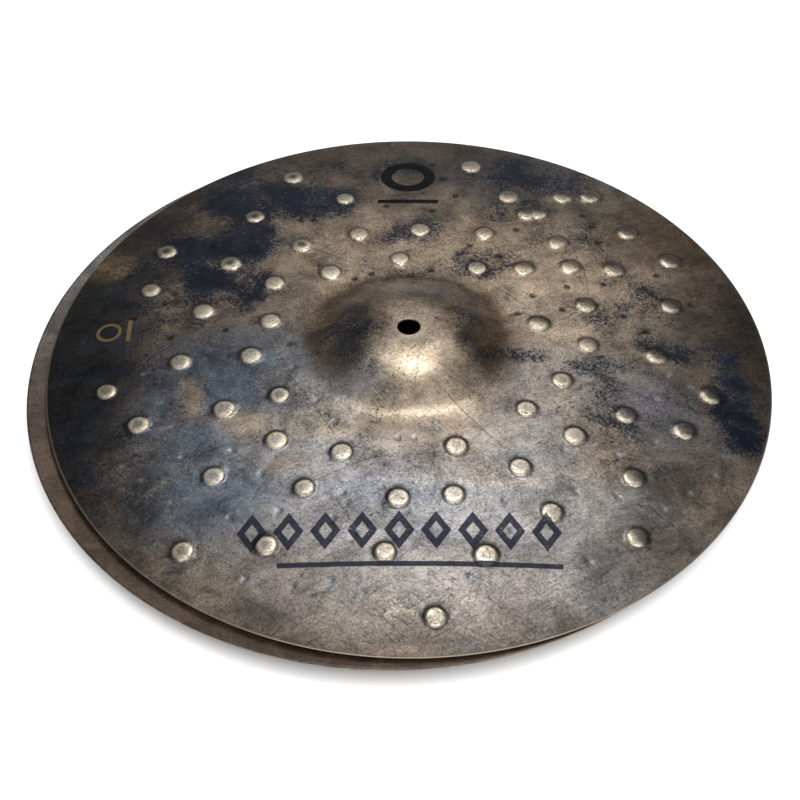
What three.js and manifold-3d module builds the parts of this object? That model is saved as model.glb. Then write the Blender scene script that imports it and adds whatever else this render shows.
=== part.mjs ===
// A pair of hammered bronze hi-hat cymbals, laid rim to rim: the bottom cymbal dome down,
// the top cymbal dome up and slid a little off centre.
// Millimetres, +Z up. The origin is under the middle of the pair, at the bottom cymbal's crown.

import * as THREE from "three";
import { mergeVertices } from "three/addons/utils/BufferGeometryUtils.js";
import Module from "manifold-3d";

// Sizes that the matched pair shares. Rises are measured on the outer, convex face.
const RIM_RADIUS = 190.5;
const BELL_RADIUS = 48.5;
const CROWN_FLAT_RADIUS = 13;
const HOLE_RADIUS = 6;
const BELL_RISE = 12;
const BOW_RISE = 16.8;
const BOW_CURVE = 0.6;

// Walls: the top cymbal is the lighter of the two. Each is thickest at its crown.
const TOP_CROWN_WALL = 1.3;
const TOP_RIM_WALL = 0.9;
const BOTTOM_CROWN_WALL = 1.5;
const BOTTOM_RIM_WALL = 1.1;

// How the top cymbal lies on the bottom one
const RIM_CLEARANCE = 0.3;
const TOP_SLID_RIGHT = 9.4;
const TOP_SLID_BACK = 5.4;

// Hammer marks: round, nearly flat-topped bumps on the outer face, in rings across the bow.
// A ring is [share of the way from the bell to the rim, angles in degrees from +X].
const MARK_RADIUS = 5.8;
const MARK_TOP_RADIUS = 3.6;
const MARK_HEIGHT = 0.9;
const MARK_CROWN = 0.15;
const MARK_ROOT = 0.4;
const MARK_RINGS = [
  [0.13, [94]],
  [0.155, [13, 58, 127]],
  [0.19, [166, 209, 288, 322]],
  [0.24, [185, 246, 342]],
  [0.275, [44, 146]],
  [0.32, [1, 86, 107, 225]],
  [0.365, [19, 65, 126, 303]],
  [0.39, [205, 267, 282, 323]],
  [0.43, [36, 242]],
  [0.46, [165]],
  [0.5, [46, 145, 184, 337]],
  [0.575, [30, 59, 106, 222, 302, 359]],
  [0.61, [57, 265]],
  [0.65, [66, 128, 285, 322]],
  [0.69, [15, 200, 242]],
  [0.71, [160, 339]],
  [0.775, [39, 56, 148, 189, 350]],
  [0.815, [28, 77, 114, 312]],
  [0.855, [52, 230, 274]],
];

// Facets
const ROUND_STEPS = 72;
const BELL_STEPS = 5;
const BOW_STEPS = 6;
const MARK_STEPS = 8;

const wasm = await Module();
wasm.setup();

// Height of the convex face above the rim, at a radius.
function outerHeight(radius) {
  if (radius <= CROWN_FLAT_RADIUS) return BOW_RISE + BELL_RISE;
  if (radius <= BELL_RADIUS) {
    const across = (radius - CROWN_FLAT_RADIUS) / (BELL_RADIUS - CROWN_FLAT_RADIUS);
    return BOW_RISE + BELL_RISE * (1 - across * across);
  }
  const across = (radius - BELL_RADIUS) / (RIM_RADIUS - BELL_RADIUS);
  return BOW_RISE * (1 - across * (1 + BOW_CURVE * (across - 1)));
}

// Outward unit normal of the convex face, in the plane of the profile.
function outerNormal(radius) {
  const reach = 0.01;
  const rise = outerHeight(radius + reach) - outerHeight(radius - reach);
  return new THREE.Vector2(-rise, 2 * reach).normalize();
}

function outerPoints() {
  const points = [new THREE.Vector2(HOLE_RADIUS, outerHeight(HOLE_RADIUS))];
  for (let step = 0; step <= BELL_STEPS; step++) {
    const radius = THREE.MathUtils.lerp(CROWN_FLAT_RADIUS, BELL_RADIUS, step / BELL_STEPS);
    points.push(new THREE.Vector2(radius, outerHeight(radius)));
  }
  for (let step = 1; step <= BOW_STEPS; step++) {
    const radius = THREE.MathUtils.lerp(BELL_RADIUS, RIM_RADIUS, step / BOW_STEPS);
    points.push(new THREE.Vector2(radius, outerHeight(radius)));
  }
  return points;
}

// The concave face follows the convex one, a wall's thickness below it.
function innerPoints(crownWall, rimWall) {
  return outerPoints().map((point) => {
    const share = (point.x - HOLE_RADIUS) / (RIM_RADIUS - HOLE_RADIUS);
    const wall = THREE.MathUtils.lerp(crownWall, rimWall, share);
    const flat = point.x <= CROWN_FLAT_RADIUS;
    const normal = flat ? new THREE.Vector2(0, 1) : outerNormal(point.x);
    return point.clone().addScaledVector(normal, -wall);
  });
}

// How far a cymbal's wall reaches below its outer rim edge.
function rimDepth(crownWall, rimWall) {
  return -innerPoints(crownWall, rimWall).at(-1).y;
}

function toSolid(geometry) {
  geometry.deleteAttribute("normal");
  geometry.deleteAttribute("uv");
  const merged = mergeVertices(geometry, 1e-5);
  const solid = new wasm.Mesh({
    numProp: 3,
    vertProperties: new Float32Array(merged.attributes.position.array),
    triVerts: new Uint32Array(merged.index.array),
  });
  return new wasm.Manifold(solid);
}

function toGeometry(solid) {
  const mesh = solid.getMesh();
  const geometry = new THREE.BufferGeometry();
  geometry.setAttribute("position", new THREE.BufferAttribute(mesh.vertProperties, 3));
  geometry.setIndex(new THREE.BufferAttribute(mesh.triVerts, 1));
  geometry.computeVertexNormals();
  return geometry;
}

// A lathe turns about +Y, so its axis is stood up along +Z.
function spun(profile, steps) {
  const geometry = new THREE.LatheGeometry(profile, steps);
  geometry.rotateX(Math.PI / 2);
  return geometry;
}

// The plain disc: bell, bow and centre hole, with its rim's outer edge at z = 0.
function plainDisc(crownWall, rimWall) {
  const outer = outerPoints().reverse();
  const inner = innerPoints(crownWall, rimWall);
  return toSolid(spun([...outer, ...inner, outer[0]], ROUND_STEPS));
}

// One bump, rooted in the wall and leaning with the bow at its place.
function hammerMark(radius, angle) {
  const dome = [
    new THREE.Vector2(0, -MARK_ROOT),
    new THREE.Vector2(MARK_RADIUS, -MARK_ROOT),
    new THREE.Vector2(MARK_RADIUS, 0),
    new THREE.Vector2(MARK_TOP_RADIUS, MARK_HEIGHT - MARK_CROWN),
    new THREE.Vector2(0, MARK_HEIGHT),
  ];
  const geometry = spun(dome, MARK_STEPS);
  const normal = outerNormal(radius);
  geometry.rotateY(Math.atan2(normal.x, normal.y));
  geometry.translate(radius, 0, outerHeight(radius));
  geometry.rotateZ(THREE.MathUtils.degToRad(angle));
  return toSolid(geometry);
}

function cymbal(name, crownWall, rimWall, colour) {
  let solid = plainDisc(crownWall, rimWall);
  for (const [share, angles] of MARK_RINGS) {
    const radius = THREE.MathUtils.lerp(BELL_RADIUS, RIM_RADIUS, share);
    for (const angle of angles) {
      solid = solid.add(hammerMark(radius, angle));
    }
  }
  const material = new THREE.MeshStandardMaterial({ color: colour, roughness: 0.5, metalness: 0.9 });
  const mesh = new THREE.Mesh(toGeometry(solid), material);
  mesh.name = name;
  return mesh;
}

const rise = BOW_RISE + BELL_RISE;
const bottomRimTop = rise + rimDepth(BOTTOM_CROWN_WALL, BOTTOM_RIM_WALL);
const topRimHeight = bottomRimTop + RIM_CLEARANCE + rimDepth(TOP_CROWN_WALL, TOP_RIM_WALL);

const top = cymbal("top_cymbal", TOP_CROWN_WALL, TOP_RIM_WALL, 0x6e5f55);
top.position.set(TOP_SLID_RIGHT / 2, TOP_SLID_BACK / 2, topRimHeight);

// Turned over about the left-right axis, so that it lies dome down.
const bottom = cymbal("bottom_cymbal", BOTTOM_CROWN_WALL, BOTTOM_RIM_WALL, 0x5f5046);
bottom.rotation.x = Math.PI;
bottom.position.set(-TOP_SLID_RIGHT / 2, -TOP_SLID_BACK / 2, rise);

const pair = new THREE.Group();
pair.add(bottom, top);

export default pair;
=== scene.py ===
"""The looks of a pair of hammered bronze hi-hat cymbals, built round its fixed frame.

The top cymbal lies dome up on the bottom one, rim to rim. Both get a finely hammered shell
and an oxidised bronze finish. Sizes are in millimetres here and are turned to metres when a
mesh is made."""

import functools
import math

import bmesh
import bpy
import numpy as np
from bpy.props import FloatProperty, FloatVectorProperty, IntProperty, PointerProperty
from mathutils import Matrix, Vector, noise


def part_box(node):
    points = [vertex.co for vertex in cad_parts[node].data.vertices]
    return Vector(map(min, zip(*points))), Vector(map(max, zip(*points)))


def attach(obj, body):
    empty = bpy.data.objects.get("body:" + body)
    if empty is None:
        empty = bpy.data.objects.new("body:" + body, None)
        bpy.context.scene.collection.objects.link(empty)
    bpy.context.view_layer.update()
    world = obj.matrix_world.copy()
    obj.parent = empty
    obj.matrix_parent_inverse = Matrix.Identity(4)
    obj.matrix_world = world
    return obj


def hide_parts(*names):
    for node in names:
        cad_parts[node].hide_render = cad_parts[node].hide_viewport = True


bl_info = {
    "name": "Hammered Hi-Hat Cymbals",
    "version": (1, 0, 0),
    "blender": (4, 5, 0),
    "location": "View3D > Sidebar > Hi-Hat",
    "description": "Builds a pair of hammered, oxidised bronze hi-hat cymbals",
    "category": "Add Mesh",
}

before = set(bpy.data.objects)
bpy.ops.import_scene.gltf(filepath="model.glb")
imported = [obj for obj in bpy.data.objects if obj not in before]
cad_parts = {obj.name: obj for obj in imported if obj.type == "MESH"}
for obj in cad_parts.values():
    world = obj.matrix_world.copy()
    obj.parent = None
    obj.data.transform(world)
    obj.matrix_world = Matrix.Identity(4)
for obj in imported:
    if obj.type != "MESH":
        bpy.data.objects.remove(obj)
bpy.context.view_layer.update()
MM = 0.001

TOP_NODE = "top_cymbal"
BOTTOM_NODE = "bottom_cymbal"
TOP_LOW, TOP_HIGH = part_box(TOP_NODE)
BOTTOM_LOW, BOTTOM_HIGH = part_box(BOTTOM_NODE)
RIM_RADIUS = (TOP_HIGH.x - TOP_LOW.x) / 2 / MM
CROWN_WALL, RIM_WALL = 1.3, 0.9
BOTTOM_EXTRA_WALL = 0.2
FLOOR_GAP = 0.0002


# ---------------------------------------------------------------- sizes and looks

class CymbalSizes(bpy.types.PropertyGroup):
    """Sizes that both cymbals share, in millimetres."""

    hole_radius: FloatProperty(name="Hole radius", description="Centre hole", default=6.0)
    crown_radius: FloatProperty(name="Crown", description="Flat ring round the hole", default=13.0)
    bell_radius: FloatProperty(name="Bell radius", description="Foot of the bell", default=48.5)
    bell_rise: FloatProperty(name="Bell rise", description="Bell above the bow", default=12.0)
    bow_rise: FloatProperty(name="Bow rise", description="Bow above the rim", default=16.8)
    bow_curve: FloatProperty(name="Bow curve", description="0 is a cone, 1 a full arch", default=0.6)
    bell_fillet: FloatProperty(name="Bell fillet", description="Softness of the bell's foot", default=8.0)
    mark_radius: FloatProperty(name="Mark radius", description="Foot of a hammer mark", default=6.4)
    mark_top: FloatProperty(name="Mark top", description="Flat top of a hammer mark", default=4.5)
    mark_height: FloatProperty(name="Mark height", description="Height of a hammer mark", default=1.05)
    dent_radius: FloatProperty(name="Dent radius", description="Small punch dents", default=2.5)
    dent_depth: FloatProperty(name="Dent depth", description="Small punch dents", default=0.3)
    steps: IntProperty(name="Steps", description="Steps round the cymbal", default=360, min=36)


class PatinaLook(bpy.types.PropertyGroup):
    """Colours of the oxidised bronze."""

    bronze: FloatVectorProperty(
        name="Bronze", description="Bare bronze worn through the patina",
        subtype="COLOR", size=3, default=(0.56, 0.43, 0.29))
    oxide: FloatVectorProperty(
        name="Oxide", description="Blue-black scale",
        subtype="COLOR", size=3, default=(0.008, 0.014, 0.028))
    # Also the colour of the painted highlight on the marks' slopes towards the front.
    burnished_and_highlight: FloatVectorProperty(
        name="Burnished", description="Rubbed metal on the hammer marks",
        subtype="COLOR", size=3, default=(0.92, 0.80, 0.62))
    # Also the colour of the painted shade behind the hammer marks and in the dents.
    grime: FloatVectorProperty(
        name="Grime", description="Dirt in the dents and behind the hammer marks",
        subtype="COLOR", size=3, default=(0.016, 0.013, 0.011))
    ink: FloatVectorProperty(
        name="Ink", description="Printed ornament",
        subtype="COLOR", size=3, default=(0.014, 0.019, 0.036))
    gilt: FloatVectorProperty(
        name="Gilt", description="Stamped ring",
        subtype="COLOR", size=3, default=(0.50, 0.34, 0.12))


class StudioSetup(bpy.types.PropertyGroup):
    """Camera and lights."""

    distance: FloatProperty(name="Distance", description="Camera to aim point", default=1.0, unit="LENGTH")
    elevation: FloatProperty(
        name="Elevation", description="Camera above the horizon",
        subtype="ANGLE", default=math.radians(45.9))
    lens: FloatProperty(name="Lens", description="Focal length in millimetres", default=86.6)
    aim_forward: FloatProperty(
        name="Aim", description="Aim point in front of the top cymbal's centre",
        default=0.0251, unit="LENGTH")
    aim_left: FloatProperty(
        name="Aim left", description="Aim point left of the top cymbal's centre",
        default=0.0046, unit="LENGTH")
    overhead: FloatProperty(name="Overhead", description="Light above the bell, in watts", default=2.5)
    behind: FloatProperty(name="Behind", description="Light behind the pair, in watts", default=1.9)
    front: FloatProperty(name="Front", description="Light over the viewer, in watts", default=27.0)
    surroundings: FloatProperty(name="World", description="Strength of the surroundings", default=0.27)
    sweep: FloatProperty(name="Sweep", description="Light that whitens the floor, in watts", default=215.0)


def sizes():
    return bpy.context.scene.hihat_sizes


def blend(low, high, value):
    """0 below low, 1 above high, with a smooth turn between."""
    t = np.clip((value - low) / (high - low), 0, 1)
    return t * t * (3 - 2 * t)


def look():
    return bpy.context.scene.hihat_look


def studio():
    return bpy.context.scene.hihat_studio


# ---------------------------------------------------------------- the cymbal's shape

# Spacing of the rings that the wall is spun from, closer round the bell's foot.
CROWN_PITCH, BELL_PITCH, FOOT_PITCH, BOW_PITCH = 3, 2.2, 1.4, 3.3
FOOT_INSIDE, FOOT_OUTSIDE = 5, 6
RIM_BAND, LAST_RING = 3, 1.2
EDGE_ROUND = 0.28

# Rounds of finer faces: round which places, how far past their foot, and on the outer face or not.
FINER_ROUNDS = (
    ("marks", 2.6, True),
    ("dents", 1.8, True),
    ("marks", 0.9, True),
    ("dents", 0.6, True),
    ("marks", 2.6, False),
    ("marks", 0.6, False),
)

# A hammer mark: its own size as a share, the fall of its top, and the sunk ring round it.
GOLDEN = 0.618
LEAST_SIZE, SIZE_SPREAD = 0.93, 0.14
TOP_FALL = 0.22
MOAT_DEPTH, MOAT_END = 0.07, 11

# Waves left by the hand work: length, height and a step to the noise's seed.
HAND_WAVES = ((30, 0.12, 0), (13, 0.045, 7))
CROWN_FADE, RIM_FADE = 8, (12, 1)

# Hammer marks, as rings: share of the way from the bell to the rim, and angles from +X.
MARK_RINGS = (
    (0.13, (94,)),
    (0.155, (13, 58, 127)),
    (0.19, (166, 209, 288, 322)),
    (0.24, (185, 246, 342)),
    (0.275, (44, 146)),
    (0.32, (1, 86, 107, 225)),
    (0.365, (19, 65, 126, 303)),
    (0.39, (205, 267, 282, 323)),
    (0.43, (36, 242)),
    (0.46, (165,)),
    (0.5, (46, 145, 184, 337)),
    (0.575, (30, 59, 106, 222, 302, 359)),
    (0.61, (57, 265)),
    (0.65, (66, 128, 285, 322)),
    (0.69, (15, 200, 242)),
    (0.71, (160, 339)),
    (0.775, (39, 56, 148, 189, 350)),
    (0.815, (28, 77, 114, 312)),
    (0.855, (52, 230, 274)),
)

# Small punch dents, in the same form.
DENT_RINGS = (
    (0.07, (78, 110, 120)),
    (0.1, (22, 180, 196, 221, 283)),
    (0.13, (236, 265, 272)),
    (0.2, (30,)),
    (0.27, (19, 55, 67)),
    (0.35, (29, 172, 262)),
    (0.4, (184, 252, 317)),
    (0.46, (58, 83, 219, 230, 294)),
    (0.49, (13, 26, 96, 117)),
    (0.52, (120, 252, 270)),
    (0.55, (7, 175, 240, 258, 310, 325)),
    (0.58, (78, 196, 204, 292, 345)),
    (0.61, (160, 213, 353)),
    (0.635, (40, 142, 186, 333)),
    (0.66, (232, 316)),
    (0.69, (45, 82, 274, 351)),
    (0.72, (1, 25, 49, 169, 281)),
    (0.745, (221, 256)),
    (0.77, (15, 213, 262)),
    (0.8, (85, 178, 208, 250, 302, 320)),
    (0.83, (157, 242, 326)),
    (0.87, (332,)),
)


def outer_height(radius):
    """Height of the convex face above the rim."""
    s = sizes()
    radius = np.asarray(radius, float)
    up = np.clip((radius - s.crown_radius) / (s.bell_radius - s.crown_radius), 0, None)
    bell = s.bow_rise + s.bell_rise * (1 - up * up)
    out = (radius - s.bell_radius) / (RIM_RADIUS - s.bell_radius)
    bow = s.bow_rise * (1 - out * (1 + s.bow_curve * (out - 1)))
    near = np.clip(s.bell_fillet - np.abs(bell - bow), 0, None) / s.bell_fillet
    return np.maximum(bell, bow) + near ** 3 * s.bell_fillet / 6


def outer_normal(radius):
    """Unit normal of the convex face, as (outward, up)."""
    reach = 0.05
    slope = (outer_height(radius + reach) - outer_height(radius - reach)) / (2 * reach)
    size = np.hypot(1, slope)
    return -slope / size, 1 / size


def ring_places(rings):
    """The places of ringed marks, as rows of x and y."""
    s = sizes()
    places = []
    for share, angles in rings:
        radius = s.bell_radius + share * (RIM_RADIUS - s.bell_radius)
        for angle in angles:
            turn = math.radians(angle)
            places.append((radius * math.cos(turn), radius * math.sin(turn)))
    return np.array(places)


def nearest(xy, places):
    """For each point, the way from the place nearest to it, and that place's number."""
    offset = np.full(xy.shape, np.inf)
    number = np.zeros(len(xy), int)
    reach = np.full(len(xy), np.inf)
    for i, place in enumerate(places):
        away = xy - place
        distance = np.hypot(away[:, 0], away[:, 1])
        closer = distance < reach
        reach[closer], offset[closer], number[closer] = distance[closer], away[closer], i
    return reach, offset, number


def wall_at(radius):
    """Thickness of the top cymbal's wall, from the crown to the thinner rim."""
    hole = sizes().hole_radius
    return CROWN_WALL + (RIM_WALL - CROWN_WALL) * (radius - hole) / (RIM_RADIUS - hole)


def inner_point(radius):
    """The point of the concave face below the convex face's point at this radius."""
    outward, up = outer_normal(radius)
    return radius - outward * wall_at(radius), outer_height(radius) - up * wall_at(radius)


def ring_radii(start, end, pitch):
    """Evenly spaced radii from start to end, about one pitch apart."""
    count = max(1, round((end - start) / pitch))
    return [start + (end - start) * i / count for i in range(count + 1)]


def profile():
    """The closed outline of the wall, with softened edges at the rim and the hole."""
    s = sizes()
    edge = EDGE_ROUND
    foot_start, foot_end = s.bell_radius - FOOT_INSIDE, s.bell_radius + FOOT_OUTSIDE
    radii = [s.hole_radius + edge]
    radii += ring_radii(s.hole_radius + CROWN_PITCH, s.crown_radius, CROWN_PITCH)
    radii += ring_radii(s.crown_radius, foot_start, BELL_PITCH)[1:]
    radii += ring_radii(foot_start, foot_end, FOOT_PITCH)[1:]
    radii += ring_radii(foot_end, RIM_RADIUS - RIM_BAND, BOW_PITCH)[1:]
    radii += [RIM_RADIUS - LAST_RING, RIM_RADIUS - edge]
    outer = [(r, float(outer_height(r))) for r in radii]
    inner = [tuple(map(float, inner_point(r))) for r in radii]
    rim_foot = inner_point(RIM_RADIUS)
    rim = [(RIM_RADIUS, -edge), (float(rim_foot[0]), float(rim_foot[1]) + edge)]
    hole = [(s.hole_radius, inner[0][1] + edge), (s.hole_radius, outer[0][1] - edge)]
    return outer + rim + inner[::-1] + hole


def near_places(bm, places, reach, outer_side):
    """The edges whose two ends are within reach of a place, on one face of the wall."""
    points = np.array([v.co for v in bm.verts])
    radius = np.hypot(points[:, 0], points[:, 1])
    on_outer = outer_height(radius) - points[:, 2] < wall_at(radius) / 2
    close = (on_outer == outer_side) & (nearest(points[:, :2], places)[0] < reach)
    bm.verts.index_update()
    return [e for e in bm.edges if close[e.verts[0].index] and close[e.verts[1].index]]


@functools.lru_cache
def spun_shell():
    """The plain wall, spun from its outline, with finer faces where the marks will be."""
    s = sizes()
    bm = bmesh.new()
    verts = [bm.verts.new((r, 0, z)) for r, z in profile()]
    edges = [bm.edges.new((verts[i - 1], verts[i])) for i in range(len(verts))]
    bmesh.ops.spin(
        bm, geom=verts + edges, cent=(0, 0, 0), axis=(0, 0, 1), dvec=(0, 0, 0),
        angle=2 * math.pi, steps=s.steps, use_merge=True, use_duplicate=False)
    bmesh.ops.remove_doubles(bm, verts=bm.verts, dist=0.0005)
    layouts = {
        "marks": (ring_places(MARK_RINGS), s.mark_radius),
        "dents": (ring_places(DENT_RINGS), s.dent_radius),
    }
    for kind, past_foot, outer_side in FINER_ROUNDS:
        places, foot = layouts[kind]
        edges = near_places(bm, places, foot + past_foot, outer_side)
        bmesh.ops.subdivide_edges(bm, edges=edges, cuts=1, use_grid_fill=True)
    many_sided = [f for f in bm.faces if len(f.verts) > 4]
    bmesh.ops.triangulate(bm, faces=many_sided, quad_method="BEAUTY", ngon_method="BEAUTY")
    bmesh.ops.recalc_face_normals(bm, faces=bm.faces)
    return bm


def mark_shape(distance, number):
    """Height of a hammer mark, 0 to 1, at a distance from its middle. No two are the same."""
    s = sizes()
    distance = distance / (LEAST_SIZE + SIZE_SPREAD * np.modf(number * GOLDEN)[0])
    dome = 1 - TOP_FALL * np.clip(distance / s.mark_top, 0, 1) ** 2
    side = blend(s.mark_top, s.mark_radius, distance)
    moat = -MOAT_DEPTH * (side - blend(s.mark_radius, MOAT_END, distance))
    return dome * (1 - side) + moat


def dent_shape(distance):
    """Depth of a small punch dent, 0 to 1, at a distance from its middle."""
    return 1 - blend(0.1, 1.0, distance / sizes().dent_radius)


def hand_work(xy, seed):
    """Slow unevenness left by the hammer over the whole face."""
    heights = []
    for x, y in xy:
        heights.append(sum(
            height * noise.noise(Vector((x / length, y / length, seed + step)))
            for length, height, step in HAND_WAVES))
    return np.array(heights)


# ---------------------------------------------------------------- the patina's layout

TINTS = {
    "taupe": (0.250, 0.200, 0.155),
    "rose": (0.360, 0.275, 0.205),
    "sand": (0.420, 0.345, 0.265),
    "pewter": (0.260, 0.255, 0.255),
    "ash": (0.350, 0.340, 0.330),
    "steel": (0.150, 0.185, 0.235),
    "slate": (0.060, 0.074, 0.098),
    "night": (0.022, 0.023, 0.025),
    "umber": (0.085, 0.064, 0.046),
    "rust": (0.150, 0.095, 0.055),
    "ochre": (0.230, 0.150, 0.070),
}

# The hollow faces: brown towards the viewer, greyer behind.
BROWN_HOLLOW = (0.088, 0.058, 0.040)
GREY_HOLLOW = (0.120, 0.112, 0.104)

# Broad tints laid over the taupe, in order: x, y, half width, half depth, turn, tint, strength.
TOP_TINTS = (
    (40, 60, 130, 70, 0, "rose", 0.5),
    (80, 45, 70, 70, 0, "rose", 0.55),
    (76, 10, 50, 50, 0, "sand", 0.6),
    (-25, 95, 60, 34, 0, "rose", 0.7),
    (0, 175, 150, 40, 0, "umber", 0.66),
    (60, 155, 70, 30, 0, "slate", 0.5),
    # This row and the steel rows at (-100, -92) and (-10, -98): the scale's blue-grey, partly a painted
    # sheen.
    (-80, -45, 85, 75, 0, "steel", 0.95),
    (-102, -25, 50, 40, 0, "slate", 0.4),
    (-10, -110, 140, 62, 0, "pewter", 0.95),
    (-100, -92, 55, 40, 20, "steel", 0.85),
    (-58, -66, 48, 34, 0, "ash", 0.75),
    (-20, -88, 60, 20, 0, "ash", 0.3),
    (-10, -98, 50, 14, 0, "steel", 0.35),
    (90, -112, 46, 34, 0, "ash", 0.6),
    (0, -192, 150, 44, 0, "umber", 0.8),
    (0, -160, 130, 38, 0, "taupe", 0.8),
    (0, -156, 110, 40, 0, "umber", 0.32),
    (122, -92, 26, 24, 0, "slate", 0.3),
    (118, -120, 34, 30, 0, "ash", 0.3),
    (140, -55, 45, 45, 0, "slate", 0.3),
    (0, -60, 80, 12, 0, "taupe", 0.4),
    (34, -72, 64, 34, 0, "pewter", 0.5),
    (34, -68, 62, 32, 0, "taupe", 0.55),
    (20, -156, 130, 38, 0, "pewter", 0.5),
    (0, -178, 130, 26, 0, "umber", 0.25),
    (96, -148, 38, 28, 0, "ash", 0.9),
    (60, -66, 40, 30, 0, "steel", 0.5),
    (82, -26, 60, 34, 0, "pewter", 0.5),
    (128, -40, 34, 34, 0, "steel", 0.35),
    (-85, 88, 30, 26, 0, "slate", 0.5),
    (-56, 122, 30, 24, 0, "slate", 0.5),
    (-105, 2, 40, 20, 0, "slate", 0.4),
    (-62, 62, 24, 18, 0, "umber", 0.3),
    (-148, 84, 40, 56, 0, "night", 0.5),
    (-36, -34, 26, 22, 0, "ash", 0.7),
    (110, -140, 50, 34, 45, "umber", 0.5),
    (-112, -36, 9, 18, 12, "rose", 0.75),
    (-84, -55, 20, 11, -25, "rose", 0.6),
    (-62, -82, 14, 9, 20, "rose", 0.5),
    (-58, -56, 34, 22, 0, "sand", 0.45),
    (-62, -28, 26, 18, 0, "taupe", 0.4),
    # The night and umber rows from here to (182, 0), and the night row at (-148, 84), darken the left and
    # right margins: partly the patina's colour, partly painted shade.
    (-155, -95, 46, 60, 30, "night", 0.62),
    (-176, 0, 50, 130, 0, "night", 0.85),
    (-180, -10, 46, 110, 0, "night", 0.9),
    (-140, 115, 62, 70, -45, "umber", 0.85),
    (-112, 138, 44, 34, 45, "night", 0.5),
    (-155, 85, 40, 50, -30, "night", 0.6),
    (172, 30, 40, 110, 0, "umber", 0.75),
    (150, 105, 45, 50, -45, "rust", 0.7),
    (182, 0, 22, 110, 0, "night", 0.5),
    (-165, 75, 16, 16, 0, "ochre", 0.8),
    (-100, 112, 14, 10, 0, "ochre", 0.5),
    # Rows down to (35, -4): the rust is the patina's own; the umber and night rows paint shade on the
    # bell's flanks.
    (-33, 6, 31, 48, 0, "rust", 0.55),
    (37, 8, 28, 44, 0, "rust", 0.6),
    (-33, 4, 28, 44, 0, "umber", 0.6),
    (37, 6, 25, 40, 0, "umber", 0.55),
    (-30, -4, 16, 30, 0, "night", 0.75),
    (35, -4, 13, 24, 0, "night", 0.6),
    (0, 43, 44, 13, 0, "rust", 0.75),
    (-29, 33, 24, 12, 42, "rust", 0.75),
    (29, 33, 24, 12, -42, "rust", 0.75),
    (-43, 4, 10, 34, 0, "rust", 0.6),
    (43, 4, 10, 34, 0, "rust", 0.6),
    (0, 47, 34, 6, 0, "umber", 0.7),
    (-32, 37, 20, 6, 42, "umber", 0.7),
    (32, 37, 20, 6, -42, "umber", 0.7),
    (0, 32, 36, 14, 0, "umber", 0.7),
    (0, 18, 24, 12, 0, "taupe", 0.6),
    # Rows down to (6, -22): a painted highlight on the bell's front and a cream band below it, partly
    # wear, with a thin umber band of painted shade that dims the reflection at the bell's foot.
    (20, -32, 30, 16, 0, "sand", 0.5),
    (0, -46, 54, 9, 0, "sand", 0.75),
    (0, -58, 62, 6, 0, "umber", 0.45),
    (6, -22, 34, 24, 0, "sand", 0.95),
    (-20, -30, 14, 12, 0, "ash", 0.6),
    (0, 0, 14, 14, 0, "sand", 0.5),
)

# Blue-black scale, in the same form without a tint.
TOP_OXIDE = (
    (-86, 126, 39, 25, 0, 0.9),
    (-90, 106, 25, 26, 0, 0.8),
    (-92, 148, 46, 36, 15, 0.65),
    (-120, 84, 24, 20, 0, 0.85),
    (-110, 58, 18, 34, 0, 0.9),
    (-86, 50, 19, 32, 0, 0.8),
    (-88, 84, 28, 22, 0, 0.85),
    (-52, 124, 36, 26, 0, 0.85),
    (-22, 160, 60, 22, 0, 0.55),
    (4, 88, 28, 22, 0, 0.68),
    (40, 66, 36, 20, 0, 0.52),
    (78, 150, 66, 32, 0, 0.7),
    (56, 115, 28, 18, 0, 0.52),
    (90, 92, 36, 30, 0, 0.46),
    (167, -26, 18, 46, 0, 0.88),
    (154, 0, 28, 12, 0, 0.75),
    (132, 4, 18, 10, 0, 0.5),
    (62, -8, 20, 8, 0, 0.62),
    (92, -14, 28, 12, 0, 0.4),
    (172, -60, 18, 30, 0, 0.65),
    (-8, 56, 66, 9, 0, 0.3),
    (-140, 50, 50, 90, 0, 0.5),
    (-155, -60, 36, 70, 0, 0.45),
    (-110, -45, 60, 50, 0, 0.12),
    (120, 36, 44, 44, 0, 0.5),
    (120, -50, 60, 50, 0, 0.42),
    (-29, 0, 24, 36, 0, 0.38),
    (34, 2, 22, 30, 0, 0.36),
    (0, 0, 205, 205, 0, 0.2),
)

# Where the film is worn through to bare metal, in the same form; the first two rows also paint the
# highlight on the bell's front and the bright band below it.
TOP_WEAR_AND_HIGHLIGHT = (
    (8, -28, 38, 28, 0, 0.8),
    (4, -58, 76, 22, 0, 0.66),
    (20, 70, 120, 70, 0, 0.4),
    (-112, -36, 12, 22, 12, 0.6),
    (-84, -55, 24, 15, -25, 0.6),
    (-120, -80, 60, 50, 0, 0.3),
    (-100, 100, 70, 70, 0, 0.42),
    (-163, 76, 22, 20, 0, 0.6),
    (70, -70, 60, 40, 0, 0.4),
    (100, 70, 80, 60, 0, 0.4),
    (10, -165, 40, 14, 0, 0.5),
    (0, 0, 200, 200, 0, 0.36),
)

BOTTOM_TINTS = (
    (0, 0, 260, 260, 0, "umber", 0.6),
    (-90, 60, 90, 80, 30, "steel", 0.7),
    (80, -70, 90, 70, 20, "rose", 0.5),
    (120, 100, 60, 50, -30, "slate", 0.7),
    (-60, -120, 70, 40, 10, "rust", 0.6),
    (-34, 2, 30, 50, 0, "night", 0.6),
    (34, 0, 30, 50, 0, "night", 0.6),
    (0, 0, 20, 20, 0, "sand", 0.5),
)

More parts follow.
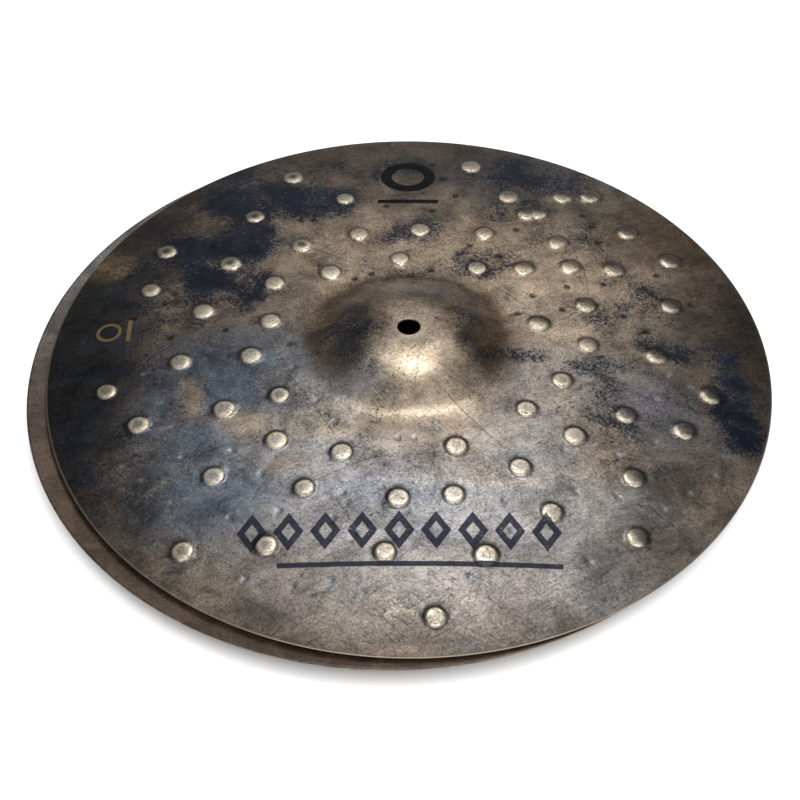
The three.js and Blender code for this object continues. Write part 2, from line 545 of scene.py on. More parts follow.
BOTTOM_OXIDE = (
    (90, 110, 44, 32, 30, 1.0),
    (120, 60, 34, 30, 0, 0.85),
    (-110, -70, 40, 30, 20, 0.9),
    (-40, 110, 36, 20, 0, 0.7),
    (30, -120, 44, 20, -10, 0.75),
    (-150, 40, 24, 44, 0, 0.8),
    (0, 0, 210, 210, 0, 0.32),
)

BOTTOM_WEAR = (
    (0, -10, 40, 34, 0, 0.7),
    (-40, 70, 60, 40, 0, 0.5),
    (100, -60, 60, 50, 0, 0.5),
    (0, 0, 210, 210, 0, 0.3),
)


def blot_weight(xy, centre_x, centre_y, half_x, half_y, turn):
    """1 in the middle of an oval blot, 0 at its edge."""
    c, s = math.cos(math.radians(turn)), math.sin(math.radians(turn))
    dx, dy = xy[:, 0] - centre_x, xy[:, 1] - centre_y
    u, v = (c * dx + s * dy) / half_x, (c * dy - s * dx) / half_y
    inside = np.clip(1 - u * u - v * v, 0, None)
    return inside * inside * (3 - 2 * inside)


def tints_at(xy, blots):
    colours = np.tile(np.array(TINTS["taupe"]), (len(xy), 1))
    for *oval, name, strength in blots:
        weight = strength * blot_weight(xy, *oval)[:, None]
        colours += (np.array(TINTS[name]) - colours) * weight
    return colours


def covered(xy, blots):
    """How far blots of one kind cover each point, 0 to 1."""
    clear = np.ones(len(xy))
    for *oval, strength in blots:
        clear *= 1 - strength * blot_weight(xy, *oval)
    return 1 - clear


# Where on the cymbal a mark wears and takes its painted highlight and shade in each way, as bands of x or
# y from none to full.
RIGHT_ZONE, RIGHT_LEAN, FAR_RIGHT_ZONE = (15, 50), 0.2, (80, 125)
FRONT_ZONE, FRONT_ENDS = (15, -40), (70, 120)
PITTED_X, PITTED_Y = (-40, -65), (40, 70)

# Bands on one mark: across it as seen from the front point, from its middle, and by its height.
FRONT_POINT = (30, -200)
NEAR_SIDE, FAR_SIDE, NEAR_HALF = (0.0, -3.8), (-2.2, 3.6), (3.0, -2.5)
CENTRE, BORDER, SLOPE_START = (3.0, 1.2), (1.8, 3.4), (2.4, 4.0)
FOOT_OUTER, FOOT_INNER = (7.9, 6.4), (4.0, 5.4)
TOP_HEIGHTS, SLOPE_HEIGHTS = (0.5, 0.85), (0.15, 0.55)


def mark_zones(places):
    """How far each mark belongs to the back, the right, the far right, the front and the pitted ones."""
    x, y = places[:, 0], places[:, 1]
    front = blend(*FRONT_ZONE, y) * (1 - blend(*FRONT_ENDS, x))
    right = blend(*RIGHT_ZONE, x - RIGHT_LEAN * y) * (1 - front)
    pitted = blend(*PITTED_X, x) * blend(*PITTED_Y, y)
    return 1 - front - right, right, blend(*FAR_RIGHT_ZONE, x), front, pitted


def mark_wear_and_painted_light(shape, offset, places):
    """Bare metal and dirt on the hammer marks, with a painted highlight on the slope towards the front and
    painted shade on the far side, so each is brightest on the side of the front.
    """
    away = places - FRONT_POINT
    across = (offset * away).sum(1) / np.hypot(away[:, 0], away[:, 1])
    distance = np.hypot(offset[:, 0], offset[:, 1])
    back, right, far_right, front, pitted = mark_zones(places)
    near_half = blend(*NEAR_HALF, across)
    top = blend(*TOP_HEIGHTS, shape)
    slope = blend(*SLOPE_HEIGHTS, shape) * blend(*SLOPE_START, distance)
    foot = blend(*FOOT_OUTER, distance) * blend(*FOOT_INNER, distance)

    # Painted highlight: bare metal on the slope facing the front point and on the near half of the tops;
    # the tops of the back and front marks are also worn bare.
    bare = slope * blend(*NEAR_SIDE, across) * (1.0 - 0.5 * front)
    bare += top * back * (0.5 + 0.25 * near_half) * (1 - 0.4 * pitted)
    bare += top * right * near_half * (0.55 - 0.42 * far_right)
    bare += top * front * (0.30 + 0.40 * blend(*BORDER, distance))

    # Painted shade: dark at the foot on the far side of each mark and on the far half of the right-hand
    # marks' tops; the dark centres of the pitted marks are dirt.
    dirt_and_shade = foot * blend(*FAR_SIDE, across) * (0.5 + 0.25 * front + 0.25 * right)
    dirt_and_shade += top * right * (1 - near_half) * 0.45
    dirt_and_shade += blend(*CENTRE, distance) * pitted * 0.7
    return np.clip(bare, 0, 1), np.clip(dirt_and_shade, 0, 0.95)


# ---------------------------------------------------------------- nodes

class Graph:
    """Adds nodes to a node tree. A socket's value is a number, a tuple or another socket."""

    def __init__(self, tree):
        self.tree = tree

    def add(self, kind, values=(), **settings):
        made = self.tree.nodes.new(kind)
        for name, value in settings.items():
            setattr(made, name, value)
        for name, value in dict(values).items():
            if isinstance(value, bpy.types.NodeSocket):
                self.tree.links.new(value, made.inputs[name])
            else:
                made.inputs[name].default_value = value
        return made

    def math(self, operation, a, b=0.0, c=0.0):
        return self.add("ShaderNodeMath", {0: a, 1: b, 2: c}, operation=operation).outputs[0]

    def vector(self, operation, a, b=(0, 0, 0)):
        made = self.add("ShaderNodeVectorMath", {0: a, 1: b}, operation=operation)
        return made.outputs["Value" if operation in ("LENGTH", "DOT_PRODUCT", "DISTANCE") else 0]

    def mix(self, share, a, b):
        made = self.add("ShaderNodeMix", {0: share, 6: a, 7: b}, data_type="RGBA")
        return made.outputs[2]

    def ramp(self, value, low, high, to_low=0.0, to_high=1.0):
        made = self.add(
            "ShaderNodeMapRange",
            {"Value": value, "From Min": low, "From Max": high, "To Min": to_low, "To Max": to_high},
            interpolation_type="SMOOTHSTEP")
        return made.outputs["Result"]

    def noise(self, vector, scale, detail=2.0, roughness=0.5, distortion=0.0):
        values = {
            "Vector": vector, "Scale": scale, "Detail": detail,
            "Roughness": roughness, "Distortion": distortion}
        return self.add("ShaderNodeTexNoise", values).outputs["Fac"]

    def streaks(self, vector, turn, length, width):
        """Noise drawn out along one direction, in the vector's own unit."""
        values = {"Vector": vector, "Rotation": (0, 0, turn), "Scale": (length, width, length)}
        laid = self.add("ShaderNodeMapping", values, vector_type="TEXTURE").outputs[0]
        return self.noise(laid, 1.0, 2.0, 0.55)

    def scaled(self, vector, share):
        return self.add("ShaderNodeVectorMath", {0: vector, "Scale": share}, operation="SCALE").outputs[0]

    def weighted(self, total, parts):
        """A total with parts added to it, each times its weight."""
        for value, weight in parts:
            total = self.math("MULTIPLY_ADD", value, weight, total)
        return total

    def group(self, tree, values):
        return self.add("ShaderNodeGroup", values, node_tree=tree).outputs

    def attribute(self, name, output="Fac"):
        made = self.add("ShaderNodeAttribute", attribute_name=name, attribute_type="GEOMETRY")
        return made.outputs[output]


def new_group(name, inputs, outputs):
    """An empty shader node group, as (graph, its inputs, its outputs' node)."""
    tree = bpy.data.node_groups.new(name, "ShaderNodeTree")
    kinds = {"float": "NodeSocketFloat", "vector": "NodeSocketVector", "colour": "NodeSocketColor"}
    for label, kind in inputs:
        tree.interface.new_socket(label, in_out="INPUT", socket_type=kinds[kind])
    for label, kind in outputs:
        tree.interface.new_socket(label, in_out="OUTPUT", socket_type=kinds[kind])
    graph = Graph(tree)
    return graph, graph.add("NodeGroupInput").outputs, graph.add("NodeGroupOutput").inputs


def flaking_group():
    """A rough field that breaks a soft patch into flakes and islands. Amount moves its edge."""
    graph, given, out = new_group(
        "Flaking",
        (("Vector", "vector"), ("Amount", "float"), ("Size", "float")),
        (("Mask", "float"),))
    broad = graph.noise(given["Vector"], given["Size"], 4.0, 0.62, 0.4)
    fine = graph.noise(given["Vector"], graph.math("MULTIPLY", given["Size"], 11.0), 8.0, 0.88, 0.3)
    one_way = graph.streaks(given["Vector"], 0.55, 0.006, 0.0006)
    other_way = graph.streaks(given["Vector"], -0.75, 0.005, 0.0005)
    strokes = graph.math("MAXIMUM", one_way, other_way)
    field = graph.weighted(0.0, ((broad, 0.26), (fine, 0.56), (strokes, 0.18)))
    limit = graph.math("MULTIPLY_ADD", given["Amount"], 0.17, 0.41)
    mask = graph.ramp(graph.math("SUBTRACT", limit, field), -0.008, 0.022)
    graph.tree.links.new(mask, out["Mask"])
    return graph.tree


def hairline_group():
    """Fine scratches that run in one direction."""
    graph, given, out = new_group(
        "Hairlines", (("Vector", "vector"), ("Turn", "float"), ("Rarity", "float")), (("Mask", "float"),))
    turn = graph.add("ShaderNodeCombineXYZ", {"Z": given["Turn"]}).outputs[0]
    laid = graph.add(
        "ShaderNodeMapping",
        {"Vector": given["Vector"], "Rotation": turn, "Scale": (0.022, 0.0006, 0.022)},
        vector_type="TEXTURE").outputs[0]
    lines = graph.noise(laid, 1.0, 1.0, 0.4)
    mask = graph.ramp(lines, given["Rarity"], graph.math("ADD", given["Rarity"], 0.05))
    graph.tree.links.new(mask, out["Mask"])
    return graph.tree


def long_scratch_group():
    """One straight scratch. Plan, Start and End are in millimetres from the cymbal's middle."""
    graph, given, out = new_group(
        "Long Scratch",
        (("Plan", "vector"), ("Start", "vector"), ("End", "vector"), ("Width", "float")),
        (("Mask", "float"),))
    away = graph.vector("SUBTRACT", given["Plan"], given["Start"])
    line = graph.vector("SUBTRACT", given["End"], given["Start"])
    along, whole = graph.vector("DOT_PRODUCT", away, line), graph.vector("DOT_PRODUCT", line, line)
    share = graph.math("DIVIDE", along, whole)
    share = graph.math("MINIMUM", graph.math("MAXIMUM", share, 0.0), 1.0)
    foot = graph.scaled(line, share)
    distance = graph.vector("LENGTH", graph.vector("SUBTRACT", away, foot))
    mask = graph.math("SUBTRACT", 1.0, graph.math("DIVIDE", distance, given["Width"]))
    graph.tree.links.new(graph.math("MAXIMUM", mask, 0.0), out["Mask"])
    return graph.tree


def metal_grain_group():
    """Fine grain, cloudy tone and dark specks of old bronze."""
    graph, given, out = new_group(
        "Metal Grain", (("Vector", "vector"),),
        (("Fine", "float"), ("Cloud", "float"), ("Specks", "float")))
    fine = graph.noise(given["Vector"], 800.0, 4.0, 0.75)
    cloud = graph.noise(given["Vector"], 50.0, 8.0, 0.72, 0.6)
    specks = graph.noise(given["Vector"], 380.0, 3.0, 0.7)
    graph.tree.links.new(fine, out["Fine"])
    graph.tree.links.new(cloud, out["Cloud"])
    graph.tree.links.new(graph.ramp(specks, 0.60, 0.66), out["Specks"])
    return graph.tree


def lathe_ring_group():
    """Fine rings round the cymbal's axis. The vector starts on that axis."""
    graph, given, out = new_group("Lathe Rings", (("Vector", "vector"),), (("Lines", "float"),))
    radius = graph.vector("LENGTH", graph.vector("MULTIPLY", given["Vector"], (1, 1, 0)))
    drift = graph.math("MULTIPLY", graph.noise(given["Vector"], 9.0, 2.0), 3.0)
    across = graph.math("MULTIPLY", radius, 1300.0)
    spot = graph.add("ShaderNodeCombineXYZ", {"X": across, "Y": drift})
    lines = graph.noise(spot.outputs[0], 1.0, 2.0, 0.6)
    graph.tree.links.new(lines, out["Lines"])
    return graph.tree


def shared_groups():
    """The node groups that both patinas use, made once."""
    makers = {
        "flaking": ("Flaking", flaking_group),
        "hairline": ("Hairlines", hairline_group),
        "scratch": ("Long Scratch", long_scratch_group),
        "grain": ("Metal Grain", metal_grain_group),
        "rings": ("Lathe Rings", lathe_ring_group),
    }
    found = {}
    for key, (name, maker) in makers.items():
        found[key] = bpy.data.node_groups.get(name) or maker()
    return found


# Plain ornament in plan, in millimetres: rings (middle, radius, half width), bars (middle, half
# width, half depth) and a row of lozenges (middle, half width, pitch, half height).
BACK_RING, BACK_BAR = ((0, 148), 12.5, 3.0), ((0, 122), 17, 1.6)
FRONT_ROW, FRONT_RULE = ((-5, -122), 80, 17.78, 11), ((5, -141), 68, 1.2)
GILT_RING, GILT_BAR = ((-160, 20), 6.0, 0.7), ((-149, 20), 1.0, 8)
PRINT_EDGE = 0.4
LOZENGE_SHARE, LOZENGE_HOLE, LOZENGE_EDGE = 0.42, (0.42, 0.48), (0.96, 1.02)
BLACK_INK = (0.003, 0.003, 0.004, 1)


def apart_from(g, plan, centre):
    return g.vector("SUBTRACT", plan, (*centre, 0))


def ring_mask(g, plan, centre, radius, half_width):
    reach = g.vector("DISTANCE", plan, (*centre, 0))
    off = g.math("ABSOLUTE", g.math("SUBTRACT", reach, radius))
    return g.ramp(off, half_width, half_width + PRINT_EDGE, 1.0, 0.0)


def bar_mask(g, plan, centre, half_x, half_y):
    apart = g.add("ShaderNodeSeparateXYZ", {0: g.vector("ABSOLUTE", apart_from(g, plan, centre))})
    across = g.math("SUBTRACT", apart.outputs[0], half_x)
    along = g.math("SUBTRACT", apart.outputs[1], half_y)
    return g.ramp(g.math("MAXIMUM", across, along), 0.0, PRINT_EDGE, 1.0, 0.0)


def lozenge_row_mask(g, plan, centre, half_x, pitch, half_height):
    """A row of hollow lozenges, each nearly as wide as the pitch."""
    apart = g.add("ShaderNodeSeparateXYZ", {0: apart_from(g, plan, centre)})
    across, along = apart.outputs[0], apart.outputs[1]
    step = g.math("DIVIDE", g.math("PINGPONG", across, pitch / 2), pitch * LOZENGE_SHARE)
    climb = g.math("DIVIDE", g.math("ABSOLUTE", along), half_height)
    shape = g.math("ADD", step, climb)
    row = g.math("MULTIPLY", g.ramp(shape, *LOZENGE_EDGE, 1.0, 0.0), g.ramp(shape, *LOZENGE_HOLE))
    ends = g.ramp(g.math("ABSOLUTE", across), half_x, half_x + PRINT_EDGE, 1.0, 0.0)
    return g.math("MULTIPLY", row, ends)


def printed(g, plan, base, worn_and_highlit):
    """The base with the ornament on it, and the mask of its ink."""
    black = g.math("MAXIMUM", ring_mask(g, plan, *BACK_RING), bar_mask(g, plan, *BACK_BAR))
    navy = g.math("MAXIMUM", lozenge_row_mask(g, plan, *FRONT_ROW), bar_mask(g, plan, *FRONT_RULE))
    gilt = g.math("MAXIMUM", ring_mask(g, plan, *GILT_RING), bar_mask(g, plan, *GILT_BAR))
    black = g.math("MULTIPLY", black, 0.97)
    navy = g.math("MULTIPLY", navy, g.math("MULTIPLY_ADD", worn_and_highlit, -0.3, 0.9))
    gilt = g.math("MULTIPLY", gilt, g.math("MULTIPLY_ADD", worn_and_highlit, -0.4, 0.6))
    base = g.mix(black, base, BLACK_INK)
    base = g.mix(navy, base, (*look().ink, 1))
    return g.mix(gilt, base, (*look().gilt, 1)), g.math("MAXIMUM", black, navy)


# Long scratches in plan: start, end and half width.
LONG_SCRATCHES = (
    ((32, 58), (76, 18), 0.55),
    ((-160, -24), (-124, 6), 0.6),
    ((-62, -22), (-38, -62), 0.4),
    ((82, -34), (122, -4), 0.35),
    ((108, 98), (126, 116), 0.45),
    ((118, -104), (142, -126), 0.5),
    ((-36, 68), (-62, 84), 0.5),
    ((20, -40), (42, -66), 0.45),
    ((60, -50), (16, -28), 0.3),
    ((96, 66), (98, 22), 0.35),
    ((-10, -74), (-58, -98), 0.3),
)


# How far each kind of grain darkens and lightens the film, over the usual spread of noise.
USUAL = (0.3, 0.7)
CLOUD_SPREAD, CLOUD_TONES = (0.34, 0.66), (0.60, 1.36)
FINE_TONES, BRUSHED_TONES, RING_TONES = (0.62, 1.38), (0.90, 1.10), (0.93, 1.07)
MOTTLE_EDGE, MOTTLE_SHARE = (0.50, 0.66), 0.42

# Lighter scale, the marks' pits, a painted reflection in the front dents, and the rubbed rim, which on the
# bottom cymbal's right side is also a painted highlight.
LIGHT_SCALE = (0.017, 0.031, 0.060, 1)
PIT_METAL = (0.15, 0.12, 0.09, 1)
DENT_REFLECTION = (0.29, 0.32, 0.36, 1)
EDGE_METAL_AND_GLINT = (0.42, 0.35, 0.27, 1)

# Sizes of the flakes, per metre, and a shift that keeps worn flakes and scale apart.
WORN_SIZE, SCALE_SIZE, WORN_SHIFT = 70.0, 52.0, (0.31, 0.17, 0)
WORN_LIGHT, WORN_BRONZE = 1.75, 0.42

# Hairlines: turn in radians and rarity.
HAIRLINES = ((0.62, 0.64), (-0.5, 0.66), (1.35, 0.67), (2.3, 0.66))
HAIRLINE_DEPTH, SCRATCH_DEPTH = 0.55, 1.6


def scratch_mask(g, groups, place, plan, ornament):
    """Hairlines everywhere, and the long scratches on the piece that carries the ornament."""
    scratches = 0.0
    for turn, rarity in HAIRLINES:
        mask = g.group(groups["hairline"], {"Vector": place, "Turn": turn, "Rarity": rarity})["Mask"]
        scratches = g.math("MAXIMUM", scratches, g.math("MULTIPLY", mask, HAIRLINE_DEPTH))
    for start, end, width in LONG_SCRATCHES if ornament else ():
        values = {"Plan": plan, "Start": (*start, 0), "End": (*end, 0), "Width": width}
        mask = g.group(groups["scratch"], values)["Mask"]
        scratches = g.math("MAXIMUM", scratches, g.math("MULTIPLY", mask, SCRATCH_DEPTH))
    return g.math("MINIMUM", scratches, 1.0)


def film_colour(g, place, grain, brushed, rings, outside):
    """The film's own tone: painted tint, mottled, clouded, brushed and grained."""
    mottle = g.ramp(g.noise(place, 30.0, 6.0, 0.7, 0.6), *MOTTLE_EDGE, 0.0, MOTTLE_SHARE)
    slate = (*TINTS["slate"], 1)
    film = g.mix(g.math("MULTIPLY", mottle, outside), g.attribute("tint", "Color"), slate)
    tone = g.ramp(grain["Cloud"], *CLOUD_SPREAD, *CLOUD_TONES)
    for value, tones in ((grain["Fine"], FINE_TONES), (brushed, BRUSHED_TONES), (rings, RING_TONES)):
        tone = g.math("MULTIPLY", tone, g.ramp(value, *USUAL, *tones))
    return g.mix(g.math("MULTIPLY", grain["Specks"], 0.55), g.scaled(film, tone), (*look().grime, 1))


def patina_material(name, centre, ornament):
    """Oxidised bronze. Its broad layout comes from the mesh's painted attributes."""
    groups = shared_groups()
    material = bpy.data.materials.new(name)
    material.use_nodes = True
    material.node_tree.nodes.clear()
    g = Graph(material.node_tree)
    place = g.add("ShaderNodeTexCoord").outputs["Object"]
    middle = g.vector("SUBTRACT", place, centre)
    plan = g.vector("MULTIPLY", middle, (1 / MM, 1 / MM, 0))
    grain = g.group(groups["grain"], {"Vector": place})
    rings = g.group(groups["rings"], {"Vector": middle})["Lines"]
    inside = g.attribute("inside")
    outside = g.math("SUBTRACT", 1.0, inside)

    brushed = g.streaks(place, 0.25, 0.02, 0.0007)
    base = film_colour(g, place, grain, brushed, rings, outside)

    # Worn to bare metal in flakes, lighter than the film round it; on the bell's front these flakes also
    # paint a highlight.
    shifted = g.vector("ADD", place, WORN_SHIFT)
    values = {"Vector": shifted, "Amount": g.attribute("wear"), "Size": WORN_SIZE}
    worn_and_highlit = g.group(groups["flaking"], values)["Mask"]
    metal_tone = g.mix(WORN_BRONZE, g.scaled(base, WORN_LIGHT), (*look().bronze, 1))
    base = g.mix(g.math("MULTIPLY", worn_and_highlit, 0.8), base, metal_tone)

    # Blue-black scale over it, with ragged flakes missing.
    values = {"Vector": place, "Amount": g.attribute("oxide"), "Size": SCALE_SIZE}
    scale = g.group(groups["flaking"], values)["Mask"]
    scale_tone = g.mix(g.ramp(grain["Cloud"], 0.35, 0.65), (*look().oxide, 1), LIGHT_SCALE)
    base = g.mix(g.math("MULTIPLY", scale, 0.94), base, scale_tone)

    # Hammer marks: bare metal on top with a painted highlight on the slope towards the front, dirt in the
    # pits and painted shade at their back. Small dents: painted shade at the back and a painted reflection
    # at the front.
    pits = g.ramp(g.noise(place, 760.0, 4.0, 0.7), 0.52, 0.60)
    bare = g.mix(g.math("MULTIPLY", pits, 0.68), (*look().burnished_and_highlight, 1), PIT_METAL)
    base = g.mix(g.attribute("bare"), base, bare)
    base = g.mix(g.attribute("pale"), base, DENT_REFLECTION)
    base = g.mix(g.attribute("grime"), base, (*look().grime, 1))

    ink = 0.0
    if ornament:
        base, ink = printed(g, plan, base, worn_and_highlit)

    scratches = g.math("MULTIPLY", scratch_mask(g, groups, place, plan, ornament), outside)
    base = g.mix(g.math("MULTIPLY", scratches, 0.5), base, (*look().grime, 1))
    # The rubbed rim, partly a painted highlight.
    base = g.mix(g.math("MULTIPLY", g.attribute("edge"), 0.6), base, EDGE_METAL_AND_GLINT)

    rubbed = g.attribute("bare")
    rough = g.weighted(0.27, (
        (grain["Cloud"], 0.16), (scale, 0.07), (ink, 0.12), (worn_and_highlit, -0.03), (rubbed, -0.05)))
    metal = g.weighted(0.93, ((ink, 0.07), (inside, -0.4)))
    relief = g.weighted(0.0, (
        (grain["Fine"], 0.4), (rings, 0.35), (brushed, 0.25), (scale, 0.3), (scratches, -1.2),
        (g.math("MULTIPLY", pits, rubbed), -0.9)))
    bump = g.add("ShaderNodeBump", {"Strength": 0.4, "Distance": 0.00012, "Height": relief})
    surface = g.add("ShaderNodeBsdfPrincipled", {
        "Base Color": base, "Roughness": rough, "Metallic": metal, "Normal": bump.outputs[0]})
    out = g.add("ShaderNodeOutputMaterial")
    g.tree.links.new(surface.outputs[0], out.inputs["Surface"])
    return material


# ---------------------------------------------------------------- pieces

def paint(mesh, name, values):
    """Writes one value for each vertex, or one colour."""
    is_colour = values.ndim == 2
    layer = mesh.attributes.new(name, "FLOAT_COLOR" if is_colour else "FLOAT", "POINT")
    layer.data.foreach_set("color" if is_colour else "value", values.astype(np.float32).ravel())


# Painted bands: from the hollow's brown to its grey, the dents' painted shade and painted reflection, and
# the rubbed rim and hole, with a painted highlight on the bottom cymbal's rim.
HOLLOW_BAND, FRONT_DENTS = (-120, 80), (10, -20)
DENT_SHADE, DENT_SPREAD, DENT_GLINT = 0.8, 2.6, 0.8
RIM_LINE, RIM_LINE_FADE, HOLE_LINE, HOLE_SHARE = 0.33, 60, 0.5, 0.6


def hammered_mesh(name, extra_wall, seed, layout, hollow_tints, edge_from, world):
    """The finished cymbal as a mesh, in metres in the frame, with its painted attributes."""
    s = sizes()
    tints, oxides, wears_and_highlights = layout
    mesh = bpy.data.meshes.new(name)
    spun_shell().to_mesh(mesh)
    points = np.empty(len(mesh.vertices) * 3, np.float32)
    mesh.vertices.foreach_get("co", points)
    points = points.reshape(-1, 3).astype(float)
    xy = points[:, :2].copy()
    radius = np.hypot(*xy.T)
    depth = (outer_height(radius) - points[:, 2]) / wall_at(radius)
    outer = depth < 0.5
    reach, offset, number = nearest(xy, ring_places(MARK_RINGS))
    mark = mark_shape(reach, number)
    dent = dent_shape(nearest(xy, ring_places(DENT_RINGS))[0]) * (1 - np.clip(mark, 0, 1))

    on_face = (depth < 0.3) & (radius < RIM_RADIUS - 0.5)
    points[on_face, 2] = outer_height(radius[on_face])
    points[~outer, 2] -= extra_wall
    fade = blend(s.crown_radius, s.crown_radius + CROWN_FADE, radius)
    fade *= 1 - blend(RIM_RADIUS - RIM_FADE[0], RIM_RADIUS - RIM_FADE[1], radius)
    lift = s.mark_height * mark - s.dent_depth * dent + fade * hand_work(xy, seed)
    outward, up = outer_normal(radius)
    points[:, :2] += xy / radius[:, None] * (outward * lift)[:, None]
    points[:, 2] += up * lift
    mesh.vertices.foreach_set("co", points.astype(np.float32).ravel())

    tint = np.ones((len(xy), 4))
    tint[:, :3] = tints_at(xy, tints)
    low_tint, high_tint = np.array(hollow_tints)
    share = blend(*HOLLOW_BAND, xy[:, 1])[:, None]
    tint[~outer, :3] = (low_tint + (high_tint - low_tint) * share)[~outer]
    bare, grime = mark_wear_and_painted_light(mark, offset, ring_places(MARK_RINGS)[number])
    front = blend(*FRONT_DENTS, xy[:, 1])
    paint(mesh, "tint", tint)
    paint(mesh, "oxide", covered(xy, oxides) * outer)
    paint(mesh, "wear", covered(xy, wears_and_highlights) * outer)
    paint(mesh, "bare", bare * outer)
    # Painted shade in the dents, strongest at the back, and a painted reflection in the front dents.
    dent_shade = DENT_SHADE * np.minimum(DENT_SPREAD * dent, 1) * (1 - 0.8 * front)
    paint(mesh, "grime", np.maximum(grime, dent_shade) * outer)
    paint(mesh, "pale", DENT_GLINT * dent * front * outer)
    paint(mesh, "inside", 1.0 - outer)
    # The rim line is rubbed metal; on the bottom cymbal it starts only on the right side, where it is a
    # painted highlight.
    at_rim = (radius > RIM_RADIUS - RIM_LINE) * blend(edge_from, edge_from + RIM_LINE_FADE, xy[:, 0])
    at_hole = HOLE_SHARE * (radius < s.hole_radius + HOLE_LINE)
    paint(mesh, "edge", np.maximum(at_rim, at_hole))
    mesh.transform(world @ Matrix.Scale(MM, 4))
    mesh.polygons.foreach_set("use_smooth", [True] * len(mesh.polygons))
    mesh.update()
    return mesh


def place_piece(name, mesh, material, node, body):
    """Adds the mesh to the scene as the looks of one CAD node."""
    piece = bpy.data.objects.new(name, mesh)
    bpy.context.scene.collection.objects.link(piece)
    mesh.materials.append(material)
    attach(piece, body)
    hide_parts(node)


class HIHAT_OT_top(bpy.types.Operator):
    """Builds the top cymbal: dome up, hammered, with blue-black scale"""

    bl_idname = "hihat.top"
    bl_label = "Top Cymbal"

    def execute(self, context):
        s = sizes()
        centre = (TOP_LOW + TOP_HIGH) / 2
        lift = TOP_HIGH.z - (s.bow_rise + s.bell_rise) * MM
        world = Matrix.Translation((centre.x, centre.y, lift))
        layout = (TOP_TINTS, TOP_OXIDE, TOP_WEAR_AND_HIGHLIGHT)
        mesh = hammered_mesh("top_shell", 0.0, 3.0, layout, (BROWN_HOLLOW, GREY_HOLLOW), -400, world)
        material = patina_material("top_patina", (centre.x, centre.y, 0), True)
        place_piece("top_shell", mesh, material, TOP_NODE, "top")
        return {"FINISHED"}


class HIHAT_OT_bottom(bpy.types.Operator):
    """Builds the bottom cymbal: dome down, heavier, its hollow face up"""

    bl_idname = "hihat.bottom"
    bl_label = "Bottom Cymbal"

    def execute(self, context):
        s = sizes()
        centre = (BOTTOM_LOW + BOTTOM_HIGH) / 2
        lift = (s.bow_rise + s.bell_rise) * MM
        turned = Matrix.Rotation(math.pi, 4, "X")
        world = Matrix.Translation((centre.x, centre.y, lift)) @ turned
        layout = (BOTTOM_TINTS, BOTTOM_OXIDE, BOTTOM_WEAR)
        hollow_tints = (GREY_HOLLOW, BROWN_HOLLOW)
        mesh = hammered_mesh("bottom_shell", BOTTOM_EXTRA_WALL, 11.0, layout, hollow_tints, 20, world)
        material = patina_material("bottom_patina", (centre.x, centre.y, 0), False)
        place_piece("bottom_shell", mesh, material, BOTTOM_NODE, "bottom")
        return {"FINISHED"}


FLOOR_HALF = 4
FLOOR_WHITE, FLOOR_ROUGHNESS = (0.92, 0.92, 0.92, 1), 0.9
SENSOR_WIDTH, CLIP_END = 36, 20

# Lamps, all facing the middle: place, width and depth in metres.
LAMPS = {
    "overhead": ((0.05, 0.31, 1.2), 0.42, 0.34),
    "behind": ((0.12, 0.96, 1.15), 0.8, 0.8),
    "front": ((0.1, -1.27, 1.32), 2.6, 1.3),
    "sweep": ((0.2, -2.05, 3.4), 1.6, 1.6),
}


def pale_floor():
    """A white floor, just under the pair."""
    bm = bmesh.new()
    below = Matrix.Translation((0, 0, -FLOOR_GAP))
    bmesh.ops.create_grid(bm, x_segments=1, y_segments=1, size=FLOOR_HALF, matrix=below)
    mesh = bpy.data.meshes.new("floor")
    bm.to_mesh(mesh)
    bm.free()
    floor = bpy.data.objects.new("floor", mesh)
    bpy.context.scene.collection.objects.link(floor)
    material = bpy.data.materials.new("floor_paper")
    material.use_nodes = True
    shader = material.node_tree.nodes["Principled BSDF"]
    shader.inputs["Base Color"].default_value = FLOOR_WHITE
    shader.inputs["Roughness"].default_value = FLOOR_ROUGHNESS
    mesh.materials.append(material)
    return floor


def soft_light(name, place, width, depth, watts):
    """A rectangular lamp that faces the middle of the floor."""
    light = bpy.data.lights.new(name, "AREA")
    light.shape = "RECTANGLE"
    light.size, light.size_y = width, depth
    light.energy = watts
    lamp = bpy.data.objects.new(name, light)
    bpy.context.scene.collection.objects.link(lamp)
    lamp.location = place
    lamp.rotation_euler = (-Vector(place)).to_track_quat("-Z", "Y").to_euler()
    return lamp


def limit_light(lamp, thing, state):
    """Lets a lamp light this thing only (INCLUDE), or all but this thing (EXCLUDE)."""
    reach = bpy.data.collections.new(lamp.name + "_reach")
    reach.objects.link(thing)
    reach.collection_objects[0].light_linking.link_state = state
    lamp.light_linking.receiver_collection = reach


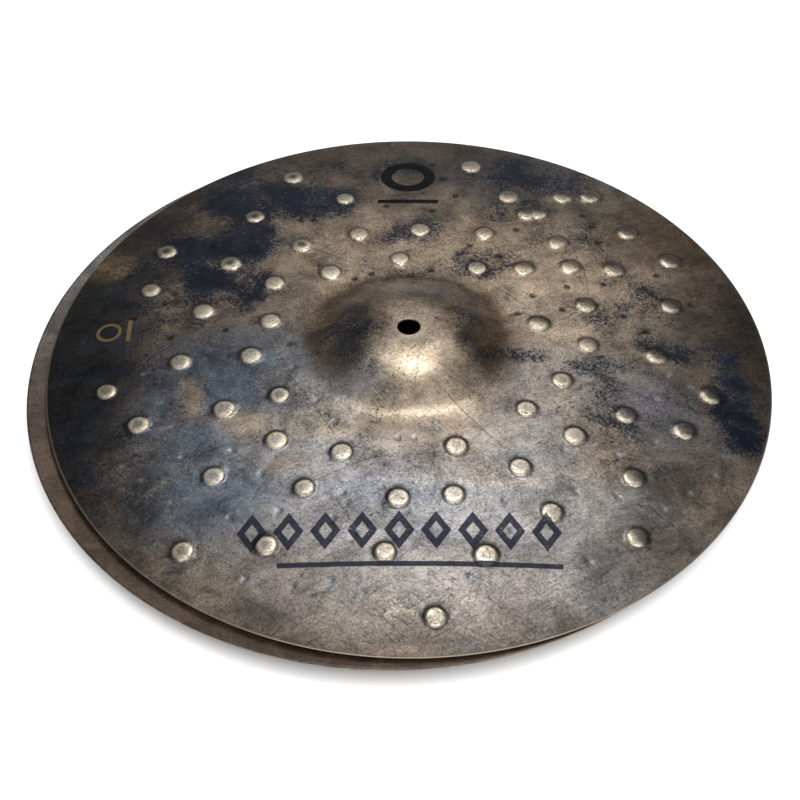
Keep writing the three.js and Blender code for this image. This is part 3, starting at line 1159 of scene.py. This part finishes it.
class HIHAT_OT_stage(bpy.types.Operator):
    """Sets up the floor, the lights and the camera"""

    bl_idname = "hihat.stage"
    bl_label = "Stage"

    def execute(self, context):
        scene, t = context.scene, studio()
        floor = pale_floor()
        world = bpy.data.worlds.new("studio")
        world.use_nodes = True
        background = world.node_tree.nodes["Background"]
        background.inputs["Color"].default_value = (1, 1, 1, 1)
        background.inputs["Strength"].default_value = t.surroundings
        scene.world = world
        lamps = {name: soft_light(name, *spot, getattr(t, name)) for name, spot in LAMPS.items()}
        limit_light(lamps["front"], floor, "EXCLUDE")
        limit_light(lamps["sweep"], floor, "INCLUDE")
        scene.view_settings.view_transform = "Standard"

        centre = (TOP_LOW + TOP_HIGH) / 2
        rim = TOP_HIGH.z - (sizes().bow_rise + sizes().bell_rise) * MM
        aim = Vector((centre.x - t.aim_left, centre.y - t.aim_forward, rim))
        away = Vector((0, -math.cos(t.elevation), math.sin(t.elevation)))
        camera = bpy.data.cameras.new("camera")
        camera.lens = t.lens
        camera.sensor_width = SENSOR_WIDTH
        camera.clip_end = CLIP_END
        viewer = bpy.data.objects.new("camera", camera)
        scene.collection.objects.link(viewer)
        viewer.location = aim + away * t.distance
        viewer.rotation_euler = (-away).to_track_quat("-Z", "Y").to_euler()
        scene.camera = viewer
        return {"FINISHED"}


class HIHAT_PT_panel(bpy.types.Panel):
    """Lists the cymbals and the stage"""

    bl_label = "Hi-Hat"
    bl_idname = "HIHAT_PT_panel"
    bl_space_type = "VIEW_3D"
    bl_region_type = "UI"
    bl_category = "Hi-Hat"

    def draw(self, context):
        column = self.layout.column()
        for operator in (HIHAT_OT_bottom, HIHAT_OT_top, HIHAT_OT_stage):
            column.operator(operator.bl_idname)


CLASSES = (
    CymbalSizes, PatinaLook, StudioSetup,
    HIHAT_OT_top, HIHAT_OT_bottom, HIHAT_OT_stage, HIHAT_PT_panel,
)


def register():
    for cls in CLASSES:
        bpy.utils.register_class(cls)
    bpy.types.Scene.hihat_sizes = PointerProperty(type=CymbalSizes)
    bpy.types.Scene.hihat_look = PointerProperty(type=PatinaLook)
    bpy.types.Scene.hihat_studio = PointerProperty(type=StudioSetup)


def unregister():
    del bpy.types.Scene.hihat_studio
    del bpy.types.Scene.hihat_look
    del bpy.types.Scene.hihat_sizes
    for cls in reversed(CLASSES):
        bpy.utils.unregister_class(cls)


def main():
    register()
    bpy.ops.hihat.bottom()
    bpy.ops.hihat.top()
    bpy.ops.hihat.stage()


if __name__ == "__main__":
    main()
